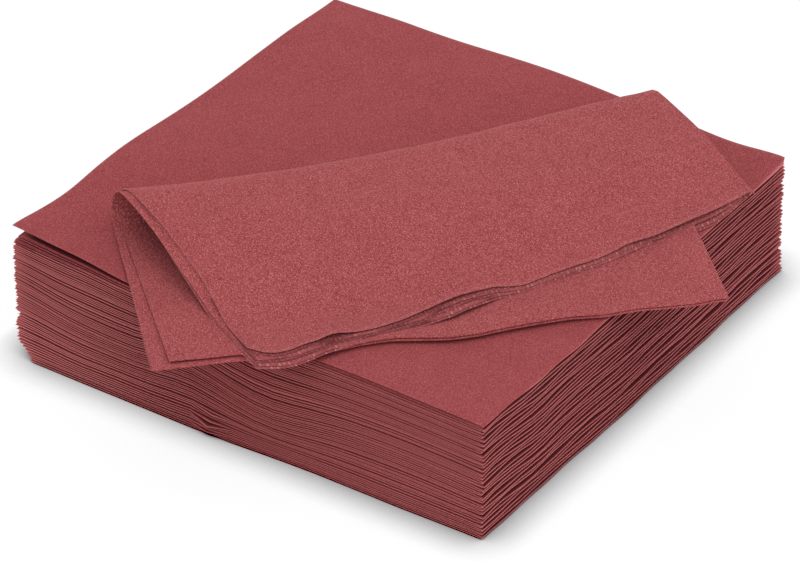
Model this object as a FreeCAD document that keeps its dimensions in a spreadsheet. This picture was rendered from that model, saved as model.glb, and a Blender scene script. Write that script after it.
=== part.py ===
import FreeCAD, Part
import Sketcher
import math
import os

# Stack of quarter-folded paper napkins with one more napkin laid over the top.
# Each napkin is one square sheet: folded once along the front (-Y) side, so two layers
# lie on each other, and then folded again along the right (+X) side, so four layers do.
# The left (-X) and rear (+Y) sides are the sheet's raw edges.
# The origin is the middle of the stack's underside, +Z is up.

os.makedirs("parts", exist_ok=True)
V = FreeCAD.Vector
doc = FreeCAD.newDocument("napkins")

# Driving dimensions, in millimetres and degrees
sizes = {
    "side": 165.0,            # quarter-folded napkin, one side
    "layer": 0.26,            # one layer of three-ply tissue
    "pairGap": 0.07,          # air between the two layers that the first fold joins
    "leafGap": 0.06,          # air between the two leaves that the second fold joins
    "restGap": 0.075,         # air between one napkin and the next
    "scatter": 0.8,           # most that a napkin lies off the middle of the pile
    "turn": 0.3,              # most that a napkin is turned in the pile
    "slip": 0.7,              # most that an upper leaf stops short of the lower one
    "curlReach": 30.0,        # length of the raised strip on the uppermost napkin
    "curlRise": 5.5,          # height of the raised edge over the pile
    "looseSide": 167.0,       # the loose napkin, not pressed flat, spreads a little
    "looseGap": 0.28,         # air between the loose napkin's layers
    "looseRest": 0.35,        # air under the loose napkin and between its halves
    "cornerX": -9.5,          # front left corner of the loose napkin's lower half
    "cornerY": -112.6,
    "foldTurn": 55.9,         # direction of the loose napkin's soft fold, from +X
    "foldSkew": 9.5,          # angle between that fold and the napkin's own sides
    "loopRadius": 7.5,        # outside of the soft fold
    "loopReach": 67.8,        # from the front left corner back to the loop's middle
    "crown": 14.0,            # level run of the upper half, forward of the loop
    "brow": 30.0,             # radius where the upper half starts to fall
    "slope": 18.0,            # its fall towards the front
    "landing": 30.0,          # radius where it settles on the lower half
}
napkins_in_pile = 30
# step and start, in radians, of the small offsets along X, along Y, in turn and in slip,
# so that no two neighbours lie alike
unevenness = ((2.4, 0.0), (3.9, 1.0), (5.3, 2.0), (1.7, 0.0))

sheet = doc.addObject("Spreadsheet::Sheet", "Sizes")
for row, (alias, number) in enumerate(sizes.items(), start=1):
    sheet.set("A%d" % row, alias)
    sheet.set("B%d" % row, str(number))
    sheet.setAlias("B%d" % row, alias)
doc.recompute()

side = sheet.side
layer = sheet.layer
pair = 2 * layer + sheet.pairGap             # two layers joined by the first fold
napkin_height = 2 * pair + sheet.leafGap
pitch = napkin_height + sheet.restGap
octagon = 2 - math.sqrt(2)                   # a pressed fold turns in three equal flats
crease = pair / 2 * octagon

pair_text = "(2 * Sizes.layer + Sizes.pairGap)"
pitch_text = "(2 * %s + Sizes.leafGap + Sizes.restGap)" % pair_text
crease_text = "%s * (1 - sqrt(2) / 2)" % pair_text


def body_plane(body, role):
    return next(f for f in body.Origin.OriginFeatures if f.Role == role)


def sketch_on(body, name, role):
    sketch = body.newObject("Sketcher::SketchObject", name)
    sketch.AttachmentSupport = (body_plane(body, role), "")
    sketch.MapMode = "FlatFace"
    return sketch


def hold(sketch, constraint, name, formula):
    # adds one dimension and ties it to the sheet
    index = sketch.addConstraint(constraint)
    sketch.renameConstraint(index, name)
    sketch.setExpression("Constraints." + name, formula)


def line(ax, ay, bx, by):
    return Part.LineSegment(V(ax, ay, 0), V(bx, by, 0))


def arc(centre_x, centre_y, radius, start, end):
    circle = Part.Circle(V(centre_x, centre_y, 0), V(0, 0, 1), radius)
    return Part.ArcOfCircle(circle, math.radians(start), math.radians(end))


def add_pair_section(body):
    # two layers joined by the pressed first fold: seen along X, open at the rear
    sketch = sketch_on(body, body.Name + "_section", "YZ_Plane")
    rear = side / 2
    front = -side / 2
    points = [
        (front + crease, pair), (rear, pair), (rear, pair - layer),
        (front + layer, pair - layer), (front + layer, layer),
        (rear, layer), (rear, 0), (front + crease, 0), (front, crease), (front, pair - crease),
    ]
    count = len(points)
    for edge in range(count):
        sketch.addGeometry(line(*points[edge], *points[(edge + 1) % count]))
    for edge in range(count):
        sketch.addConstraint(Sketcher.Constraint("Coincident", edge, 2, (edge + 1) % count, 1))
    for edge in (0, 2, 4, 6):
        sketch.addConstraint(Sketcher.Constraint("Horizontal", edge))
    for edge in (1, 3, 5, 8):
        sketch.addConstraint(Sketcher.Constraint("Vertical", edge))
    sketch.addConstraint(Sketcher.Constraint("PointOnObject", 5, 2, -1))
    flat_text = "Sizes.side - " + crease_text
    hold(sketch, Sketcher.Constraint("DistanceX", -1, 1, 0, 2, rear), "rearUpper", "Sizes.side / 2")
    hold(sketch, Sketcher.Constraint("DistanceX", -1, 1, 5, 2, rear), "rearLower", "Sizes.side / 2")
    hold(sketch, Sketcher.Constraint("DistanceX", 8, 1, 5, 2, side), "depth", "Sizes.side")
    hold(sketch, Sketcher.Constraint("DistanceX", 0, 1, 0, 2, side - crease), "flatUpper", flat_text)
    hold(sketch, Sketcher.Constraint("DistanceX", 6, 2, 5, 2, side - crease), "flatLower", flat_text)
    hold(sketch, Sketcher.Constraint("DistanceX", 2, 2, 0, 2, side - layer), "slotDepth",
         "Sizes.side - Sizes.layer")
    hold(sketch, Sketcher.Constraint("DistanceY", 1, 2, 1, 1, layer), "layerUpper", "Sizes.layer")
    hold(sketch, Sketcher.Constraint("DistanceY", 5, 2, 5, 1, layer), "layerLower", "Sizes.layer")
    hold(sketch, Sketcher.Constraint("DistanceY", 3, 2, 3, 1, pair - 2 * layer), "slot", "Sizes.pairGap")
    hold(sketch, Sketcher.Constraint("DistanceY", 7, 1, 7, 2, crease), "creaseLower", crease_text)
    hold(sketch, Sketcher.Constraint("DistanceY", 9, 1, 9, 2, crease), "creaseUpper", crease_text)
    return sketch


def add_leaf_path(body, slip, curled):
    # the second fold seen along Y: lower leaf, pressed turn at +X, upper leaf
    sketch = sketch_on(body, body.Name + "_path", "XZ_Plane")
    low = pair / 2
    high = napkin_height - pair / 2
    bevel = (high - low) * octagon / 2
    raw = -side / 2
    turn_x = side / 2 - pair / 2
    stop = raw + slip
    stop_text = "Sizes.side / 2 - Sizes.slip * %.3f" % (slip / sheet.slip)
    if curled:
        stop = raw + sheet.curlReach
        stop_text = "Sizes.side / 2 - Sizes.curlReach"
    points = [
        (raw, low), (turn_x - bevel, low), (turn_x, low + bevel),
        (turn_x, high - bevel), (turn_x - bevel, high), (stop, high),
    ]
    for start, end in zip(points, points[1:]):
        sketch.addGeometry(line(*start, *end))
    for edge in range(4):
        sketch.addConstraint(Sketcher.Constraint("Coincident", edge, 2, edge + 1, 1))
    sketch.addConstraint(Sketcher.Constraint("Horizontal", 0))
    sketch.addConstraint(Sketcher.Constraint("Vertical", 2))
    sketch.addConstraint(Sketcher.Constraint("Horizontal", 4))
    rise_text = "(%s + Sizes.leafGap)" % pair_text
    bevel_text = "%s * (1 - sqrt(2) / 2)" % rise_text
    hold(sketch, Sketcher.Constraint("DistanceX", 0, 1, -1, 1, -raw), "raw", "Sizes.side / 2")
    hold(sketch, Sketcher.Constraint("DistanceY", -1, 1, 0, 1, low), "low", pair_text + " / 2")
    hold(sketch, Sketcher.Constraint("DistanceX", -1, 1, 2, 1, turn_x), "turn",
         "Sizes.side / 2 - %s / 2" % pair_text)
    hold(sketch, Sketcher.Constraint("DistanceY", 0, 2, 3, 2, high - low), "rise", rise_text)
    hold(sketch, Sketcher.Constraint("DistanceX", 1, 1, 1, 2, bevel), "bevelLowerX", bevel_text)
    hold(sketch, Sketcher.Constraint("DistanceY", 1, 1, 1, 2, bevel), "bevelLowerY", bevel_text)
    hold(sketch, Sketcher.Constraint("DistanceX", 3, 2, 3, 1, bevel), "bevelUpperX", bevel_text)
    hold(sketch, Sketcher.Constraint("DistanceY", 3, 1, 3, 2, bevel), "bevelUpperY", bevel_text)
    hold(sketch, Sketcher.Constraint("DistanceX", 4, 2, -1, 1, -stop), "stop", stop_text)
    if curled:
        reach, height = sheet.curlReach, sheet.curlRise
        radius = (reach ** 2 + height ** 2) / (2 * height)
        sweep = math.degrees(math.asin(reach / radius))
        sketch.addGeometry(arc(stop, high + radius, radius, 270 - sweep, 270))
        sketch.addConstraint(Sketcher.Constraint("Tangent", 4, 2, 5, 2))
        hold(sketch, Sketcher.Constraint("DistanceX", 5, 1, 5, 2, reach), "curlReach", "Sizes.curlReach")
        hold(sketch, Sketcher.Constraint("DistanceY", 5, 2, 5, 1, height), "curlRise", "Sizes.curlRise")
    return sketch


def uneven(number, step, start):
    return math.sin(step * number + start)


def make_pile_napkin(number):
    name = "napkin_%02d" % number
    body = doc.addObject("PartDesign::Body", name)
    body.Label = name
    along, across, twist, short = (uneven(number, *wave) for wave in unevenness)
    short = 0.5 + 0.5 * short
    section = add_pair_section(body)
    path = add_leaf_path(body, sheet.slip * short, number == napkins_in_pile)
    doc.recompute()
    fold = body.newObject("PartDesign::AdditivePipe", name + "_fold")
    fold.Profile = section
    fold.Spine = (path, ["Edge%d" % (i + 1) for i in range(path.GeometryCount)])
    fold.Transition = "Right corner"
    body.Placement.Rotation = FreeCAD.Rotation(V(0, 0, 1), sheet.turn * twist)
    body.setExpression("Placement.Base.x", "Sizes.scatter * %.3f" % along)
    body.setExpression("Placement.Base.y", "Sizes.scatter * %.3f" % across)
    body.setExpression("Placement.Base.z", "%s * %d" % (pitch_text, number - 1))
    return body


# The loose napkin is worked out in its own frame: x along the soft fold, y square to it
# and towards the fold, z up from the top of the pile.
loose_side = sheet.looseSide
loose_step = layer + sheet.looseGap          # from one layer to the next
loose_band = 4 * layer + 3 * sheet.looseGap  # four layers with their air
skew = math.radians(sheet.foldSkew)
slope = math.radians(sheet.slope)
heading = math.radians(sheet.foldTurn)
corner_x = sheet.cornerX * math.cos(heading) + sheet.cornerY * math.sin(heading)
corner_y = sheet.cornerY * math.cos(heading) - sheet.cornerX * math.sin(heading)
loop_y = corner_y + sheet.loopReach * math.cos(skew)
loop_end = loop_y + sheet.loopRadius
upper_top = 2 * loose_band + sheet.looseRest  # top of the settled upper half
beyond = loose_side                           # tools reach this far past the paper


def landing():
    # the outermost layer's length from the loop's middle to where the upper half lies flat,
    # and how far back that is
    bends = sheet.brow + sheet.landing
    lift = 2 * sheet.loopRadius - upper_top - bends * (1 - math.cos(slope))
    run = lift / math.sin(slope)
    length = sheet.loopRadius * math.pi + sheet.crown + bends * slope + run
    back = sheet.crown + bends * math.sin(slope) + run * math.cos(slope)
    return length, loop_y - back


def half_band(inner, outer, upper):
    # one strip of the section square to the fold, between two depths from the outside
    radii = (sheet.loopRadius - inner, sheet.loopRadius - outer)
    centre = sheet.loopRadius
    if not upper:
        far = loop_y - beyond
        return [
            line(far, inner, loop_y, inner),
            arc(loop_y, centre, radii[0], -90, 0),
            line(loop_y + radii[0], centre, loop_y + radii[1], centre),
            arc(loop_y, centre, radii[1], -90, 0),
            line(loop_y, outer, far, outer),
            line(far, outer, far, inner),
        ]
    brow_y = loop_y - sheet.crown
    brow_z = 2 * sheet.loopRadius - sheet.brow
    land_y = landing()[1]
    land_z = upper_top + sheet.landing
    far = land_y - beyond
    tilt = sheet.slope
    edges = [line(loop_y + radii[0], centre, loop_y + radii[1], centre)]
    for depth, radius in ((inner, radii[0]), (outer, radii[1])):
        over = sheet.brow - depth
        under = sheet.landing + depth
        leave = (brow_y - over * math.sin(slope), brow_z + over * math.cos(slope))
        settle = (land_y + under * math.sin(slope), land_z - under * math.cos(slope))
        edges.append(arc(loop_y, centre, radius, 0, 90))
        edges.append(line(loop_y, centre + radius, brow_y, centre + radius))
        edges.append(arc(brow_y, brow_z, over, 90, 90 + tilt))
        edges.append(line(*leave, *settle))
        edges.append(arc(land_y, land_z, under, 270, 270 + tilt))
        edges.append(line(land_y, upper_top - depth, far, upper_top - depth))
    edges.append(line(far, upper_top - inner, far, upper_top - outer))
    return edges


def outline(upper, depth, trim):
    # plan of one half of the napkin; trim keeps only a strip that wide at its folded right side
    left = V(math.sin(skew), math.cos(skew), 0)
    front = V(math.cos(skew), -math.sin(skew), 0)
    corner = V(corner_x, corner_y, 0)
    right_corner = corner + front * loose_side
    loop_left = corner + left * ((loop_end - corner.y) / left.y)
    loop_right = right_corner + left * ((loop_end - right_corner.y) / left.y)
    if upper:
        length, land_y = landing()
        left_over = loose_side * math.cos(skew) - (loop_y - corner_y) - length
        inner_gain = depth * math.pi
        corner = V(corner_x + loose_side * math.sin(skew), land_y - left_over - inner_gain, 0)
        right_corner = corner + V(math.cos(skew), math.sin(skew), 0) * loose_side
    if trim:
        across = V(1, 0, 0) * (trim / math.cos(skew))
        corner = right_corner - across
        loop_left = loop_right - across
    points = [corner, right_corner, loop_right, loop_left]
    return [Part.LineSegment(a, b) for a, b in zip(points, points[1:] + points[:1])]


def free_sketch(name, edges, upright):
    sketch = doc.addObject("Sketcher::SketchObject", name)
    sketch.addGeometry(edges)
    if upright:
        # section plane: sketch x is the loose napkin's y, sketch y is up
        sketch.Placement = FreeCAD.Placement(V(-beyond, 0, 0), FreeCAD.Rotation(V(1, 1, 1), 120))
    else:
        sketch.Placement = FreeCAD.Placement(V(0, 0, -sheet.looseRest), FreeCAD.Rotation())
    return sketch


def extrude(name, sketch, formula):
    solid = doc.addObject("Part::Extrusion", name)
    solid.Base = sketch
    solid.DirMode = "Normal"
    solid.Solid = True
    solid.setExpression("LengthFwd", formula)
    return solid


def common(name, first, second):
    shared = doc.addObject("Part::Common", name)
    shared.Base = first
    shared.Tool = second
    return shared


def loose_piece(name, inner, outer, upper, trim):
    # a strip of the section, cut to the napkin's own skewed outline
    section = free_sketch(name + "_section", half_band(inner, outer, upper), True)
    plan = free_sketch(name + "_plan", outline(upper, inner, trim), False)
    strip = extrude(name + "_strip", section, "Sizes.looseSide * 2")
    cutter = extrude(name + "_outline", plan, "Sizes.loopRadius * 3")
    return common(name, strip, cutter)


def first_fold(name, depth):
    # round front edge that joins two layers of the lower half
    bead = doc.addObject("Part::Cylinder", name)
    bead.Angle = 180
    bead.setExpression("Radius", "Sizes.layer + Sizes.looseGap / 2")
    bead.setExpression("Height", "Sizes.looseSide")
    middle = V(corner_x, corner_y, depth + layer + sheet.looseGap / 2)
    along_front = V(math.cos(skew), -math.sin(skew), 0)
    outwards = V(-math.sin(skew), -math.cos(skew), 0)
    bead.Placement = FreeCAD.Placement(middle, FreeCAD.Rotation(V(0, 0, 1), outwards, along_front, "ZYX"))
    return bead


def make_loose_napkin():
    pieces = []
    for number in range(4):
        inner = number * loose_step
        outer = inner + layer
        for upper in (False, True):
            half = "upper" if upper else "lower"
            pieces.append(loose_piece("%s_layer_%d" % (half, number + 1), inner, outer, upper, 0))
    # the second fold joins the outermost two layers, and inside it the middle two
    walls = ((0, loose_band), (loose_step, loose_band - loose_step))
    for number, (inner, outer) in enumerate(walls, start=1):
        for upper in (False, True):
            name = "%s_second_fold_%d" % ("upper" if upper else "lower", number)
            pieces.append(loose_piece(name, inner, outer, upper, layer * number))
    pieces.append(first_fold("first_fold_outside", 0))
    pieces.append(first_fold("first_fold_inside", 2 * loose_step))
    napkin = doc.addObject("Part::MultiFuse", "loose_napkin")
    napkin.Label = "loose_napkin"
    napkin.Shapes = pieces
    napkin.Refine = True
    napkin.Placement.Rotation = FreeCAD.Rotation(V(0, 0, 1), sheet.foldTurn)
    napkin.setExpression("Placement.Base.z", "%s * %d + Sizes.looseRest" % (pitch_text, napkins_in_pile))
    return napkin


parts = [make_pile_napkin(number) for number in range(1, napkins_in_pile + 1)]
parts.append(make_loose_napkin())
doc.recompute()

for item in doc.Objects:
    for word in ("Invalid", "Error"):
        if word in item.State:
            raise RuntimeError("%s is %s" % (item.Name, word))
for item in parts:
    if item.Shape.isNull() or not item.Shape.isValid():
        raise RuntimeError("%s has no valid shape" % item.Label)
for item in parts:
    item.Shape.exportStep("parts/%s.step" % item.Label)
print("napkins written:", len(parts), "pile height %.2f" % (pitch * napkins_in_pile))
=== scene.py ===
import bpy
import math
import numpy as np
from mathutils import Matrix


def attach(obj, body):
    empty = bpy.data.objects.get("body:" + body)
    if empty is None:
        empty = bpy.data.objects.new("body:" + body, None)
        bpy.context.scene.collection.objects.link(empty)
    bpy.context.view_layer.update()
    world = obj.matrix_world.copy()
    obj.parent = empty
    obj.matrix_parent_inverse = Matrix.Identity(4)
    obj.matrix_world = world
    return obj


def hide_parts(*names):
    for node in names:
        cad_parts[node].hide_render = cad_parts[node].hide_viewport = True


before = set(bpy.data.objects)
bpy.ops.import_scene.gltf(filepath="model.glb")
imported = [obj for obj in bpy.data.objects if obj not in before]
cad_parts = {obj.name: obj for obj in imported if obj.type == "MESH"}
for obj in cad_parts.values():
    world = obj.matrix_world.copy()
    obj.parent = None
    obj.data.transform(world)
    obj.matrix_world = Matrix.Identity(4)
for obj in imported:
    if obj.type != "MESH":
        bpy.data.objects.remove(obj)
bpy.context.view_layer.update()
root = "root"
mm = 0.001


def linearColour(hexText, alpha=1.0):
    # sRGB hex to the linear values that shaders take
    parts = [int(hexText[i:i + 2], 16) / 255 for i in (1, 3, 5)]
    return [p / 12.92 if p <= 0.04045 else ((p + 0.055) / 1.055) ** 2.4 for p in parts] + [alpha]


def addNode(tree, kind, settings={}, links={}):
    # one node with its settings; a link is either a socket to join or a plain value
    node = tree.nodes.new(kind)
    for name, value in settings.items():
        setattr(node, name, value)
    for key, value in links.items():
        if isinstance(value, bpy.types.NodeSocket):
            tree.links.new(value, node.inputs[key])
        else:
            node.inputs[key].default_value = value
    return node


def smooth(x):
    # 0 up to 0, 1 from 1 on, and soft in between
    x = np.clip(x, 0, 1)
    return x * x * (3 - 2 * x)


def swell(x, shape):
    # nothing up to the start, the whole height after the run
    height, start, run = shape
    return height * smooth((x - start) / run)


def wave(x, shape):
    height, middle, width = shape
    return height * np.exp(-((x - middle) / width) ** 2)


tissueLook = {
    "dye": "#aa5054",
    # the deep dye of the crepe grain, also the colour of the painted shade over the rolled border
    "dyeDeepAndShade": "#813638",
    "fibre": "#cd8081",
    "speckShare": 0.85,      # how much of the fibre colour the specks take
    "speckPitch": 0.52,      # mm, a little coarser than real fibres, so that they show
    "grain": 0.42,           # mm, bumps of the crepe, also a little coarser than real ones
    "grainDepth": 0.12,      # mm
    "mottle": 9.0,           # mm, uneven dye
    "mottleTint": "#d9c4c4",
    "mottleShare": 0.22,
    "dotPitch": 1.5,         # mm, rolled edge embossing
    "dotDepth": 0.25,        # mm
    # the rolled dots are lighter: pressed paper, and a painted highlight on their raised tops
    "dotPressedAndHighlit": "#d88c88",
    "dotShare": 0.6,
    "borderShadeShare": 0.42,     # painted shade: how much darker the whole rolled border is, most on the inner layers under the next one, which leaves the hollows between the dots dark
    "tornFibre": "#cf8f8c",
    "tornShare": 0.25,       # how light the torn fibres of a raw edge are
    # the colour of the rubbed folds, which is also their painted highlight
    "rubbed": "#d97f7e",
    "foldRubAndHighlight": 0.9,         # how much lighter the pressed folds are: rubbed, and a painted highlight where their noses catch the light
    "shade": "#4a1218",
    "gapShade": 0.92,        # how much darker the paper is down in the gaps between folds
    "roughness": 0.93,
    "sheenTint": "#d99a98",
    "sheetSide": 330.0,      # mm, unfolded
}
# the opened-out napkin: dye, deep dye and fibre painted lighter for the light its upper leaf catches, a
# coarser grain, and less rubbed folds and torn fibres
handledAndLitLook = dict(tissueLook, dye="#b45b5c", dyeDeepAndShade="#803136", fibre="#e09c9b", grain=0.5,
                   foldRubAndHighlight=0.2, tornShare=0.08)


def dyedTissue(name, look):
    # Dyed three-ply tissue, creped and calendered: a dull surface with a fine grain, light
    # torn fibres along the raw edges and rows of small rolled dots there that hold the plies.
    material = bpy.data.materials.new(name)
    material.use_nodes = True
    tree = material.node_tree
    tree.nodes.clear()
    place = addNode(tree, "ShaderNodeTexCoord").outputs["Object"]
    fineGrain = addNode(tree, "ShaderNodeTexNoise", links={
        "Vector": place, "Scale": 1 / (look["grain"] * mm), "Detail": 3.0,
        "Roughness": 0.65}).outputs["Fac"]
    mottle = addNode(tree, "ShaderNodeTexNoise", links={
        "Vector": place, "Scale": 1 / (look["mottle"] * mm), "Detail": 4.0,
        "Roughness": 0.6}).outputs["Fac"]
    specks = addNode(tree, "ShaderNodeTexVoronoi", {"feature": "F1"}, {
        "Vector": place, "Scale": 1 / (look["speckPitch"] * mm), "Randomness": 1.0}).outputs["Distance"]
    speckShare = addNode(tree, "ShaderNodeMapRange", {}, {
        "Value": specks, "From Min": 0.05, "From Max": 0.34,
        "To Min": look["speckShare"], "To Max": 0.0}).outputs["Result"]
    grainShare = addNode(tree, "ShaderNodeMapRange", {}, {
        "Value": fineGrain, "From Min": 0.33, "From Max": 0.67,
        "To Min": 0.0, "To Max": 1.0}).outputs["Result"]
    mottleShare = addNode(tree, "ShaderNodeMapRange", {}, {
        "Value": mottle, "From Min": 0.35, "From Max": 0.65,
        "To Min": 0.0, "To Max": look["mottleShare"]}).outputs["Result"]
    dye = addNode(tree, "ShaderNodeMix", {"data_type": "RGBA"}, {
        "Factor": grainShare, 6: linearColour(look["dyeDeepAndShade"]), 7: linearColour(look["dye"])}).outputs[2]
    dye = addNode(tree, "ShaderNodeMix", {"data_type": "RGBA", "blend_type": "MULTIPLY"}, {
        "Factor": mottleShare, 6: dye, 7: linearColour(look["mottleTint"])}).outputs[2]
    dye = addNode(tree, "ShaderNodeMix", {"data_type": "RGBA"}, {
        "Factor": speckShare, 6: dye, 7: linearColour(look["fibre"])}).outputs[2]
    # rolled dots along the raw edges, laid out on the flat sheet
    flat = addNode(tree, "ShaderNodeUVMap", {"uv_map": "flatSheet"}).outputs["UV"]
    dots = addNode(tree, "ShaderNodeTexVoronoi", {"feature": "F1", "voronoi_dimensions": "2D"}, {
        "Vector": flat, "Scale": look["sheetSide"] / look["dotPitch"],
        "Randomness": 0.6}).outputs["Distance"]
    dotHeight = addNode(tree, "ShaderNodeMapRange", {"interpolation_type": "SMOOTHSTEP"}, {
        "Value": dots, "From Min": 0.10, "From Max": 0.29,
        "To Min": 1.0, "To Max": 0.0}).outputs["Result"]
    border = addNode(tree, "ShaderNodeAttribute", {"attribute_name": "rolledBorder"}).outputs["Fac"]
    rolled = addNode(tree, "ShaderNodeMath", {"operation": "MULTIPLY"}, {
        0: dotHeight, 1: border}).outputs[0]
    # then what lies on the dye, each where it is and how strongly: painted shade over the rolled border,
    # which leaves the hollows between the dots dark, the dots themselves, lighter where pressed and with
    # a painted highlight, torn fibres, rubbed folds with a painted highlight along their noses, and
    # painted shade in the gaps between folds
    torn, rubbedAndHighlit, inGap = (addNode(tree, "ShaderNodeAttribute", {"attribute_name": key}).outputs["Fac"]
                         for key in ("tornEdge", "foldRubAndHighlight", "inGap"))
    for where, share, colour in (
            (border, "borderShadeShare", "dyeDeepAndShade"), (rolled, "dotShare", "dotPressedAndHighlit"),
            (torn, "tornShare", "tornFibre"), (rubbedAndHighlit, "foldRubAndHighlight", "rubbed"), (inGap, "gapShade", "shade")):
        amount = addNode(tree, "ShaderNodeMath", {"operation": "MULTIPLY"}, {
            0: where, 1: look[share]}).outputs[0]
        dye = addNode(tree, "ShaderNodeMix", {"data_type": "RGBA"}, {
            "Factor": amount, 6: dye, 7: linearColour(look[colour])}).outputs[2]
    grainBump = addNode(tree, "ShaderNodeBump", {}, {
        "Strength": 0.5, "Distance": look["grainDepth"] * mm, "Height": fineGrain}).outputs["Normal"]
    dotBump = addNode(tree, "ShaderNodeBump", {}, {
        "Strength": 0.9, "Distance": look["dotDepth"] * mm, "Height": rolled,
        "Normal": grainBump}).outputs["Normal"]
    shader = addNode(tree, "ShaderNodeBsdfPrincipled", {}, {
        "Base Color": dye, "Roughness": look["roughness"], "IOR": 1.45, "Specular IOR Level": 0.15,
        "Sheen Weight": 0.12, "Sheen Roughness": 0.5, "Sheen Tint": linearColour(look["sheenTint"]),
        "Normal": dotBump}).outputs["BSDF"]
    addNode(tree, "ShaderNodeOutputMaterial", links={"Surface": shader})
    return material


# fresh paper of the pile: even and dull, and slightly darker than the opened-out napkin, whose paper is
# painted lighter
freshTissue = dyedTissue("dyedTissuePaperFresh", tissueLook)
# the opened-out napkin has been handled: its crepe stands up, so it looks rougher; its paper is also
# painted lighter for the light that its upper leaf catches
handledAndLitTissue = dyedTissue("dyedTissuePaperHandledAndLit", handledAndLitLook)
print("paper materials made")


def turnOverGroup():
    # carries paper round one fold: how far back from the fold it lies, and how high
    group = bpy.data.node_groups.new("turnOver", "GeometryNodeTree")
    for name in ("across", "radius", "offset"):
        group.interface.new_socket(name, in_out="INPUT", socket_type="NodeSocketFloat")
    for name in ("reach", "rise"):
        group.interface.new_socket(name, in_out="OUTPUT", socket_type="NodeSocketFloat")
    given = addNode(group, "NodeGroupInput").outputs
    value = {name: given[name] for name in ("across", "radius", "offset")}
    value["quarterTurn"] = math.pi / 2
    # each row names a result, its operation and the values it works on
    for name, operation, *used in (
            ("away", "ABSOLUTE", "across"),
            ("leaf", "SIGN", "across"),
            ("turned", "DIVIDE", "away", "radius"),
            ("turned", "MINIMUM", "turned", "quarterTurn"),
            ("bent", "MULTIPLY", "turned", "radius"),
            ("straight", "SUBTRACT", "away", "bent"),
            ("outside", "ADD", "radius", "offset"),
            ("cosine", "COSINE", "turned"),
            ("sine", "SINE", "turned"),
            ("nose", "MULTIPLY", "cosine", "outside"),
            ("reach", "SUBTRACT", "straight", "nose"),
            ("lift", "MULTIPLY", "sine", "outside"),
            ("rise", "MULTIPLY", "lift", "leaf")):
        value[name] = addNode(group, "ShaderNodeMath", {"operation": operation}, {
            slot: value[key] for slot, key in enumerate(used)}).outputs[0]
    addNode(group, "NodeGroupOutput", links={"reach": value["reach"], "rise": value["rise"]})
    return group


outwardScale = 6.06      # per m, so that the raw edges of the flat sheet lie at 1


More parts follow.
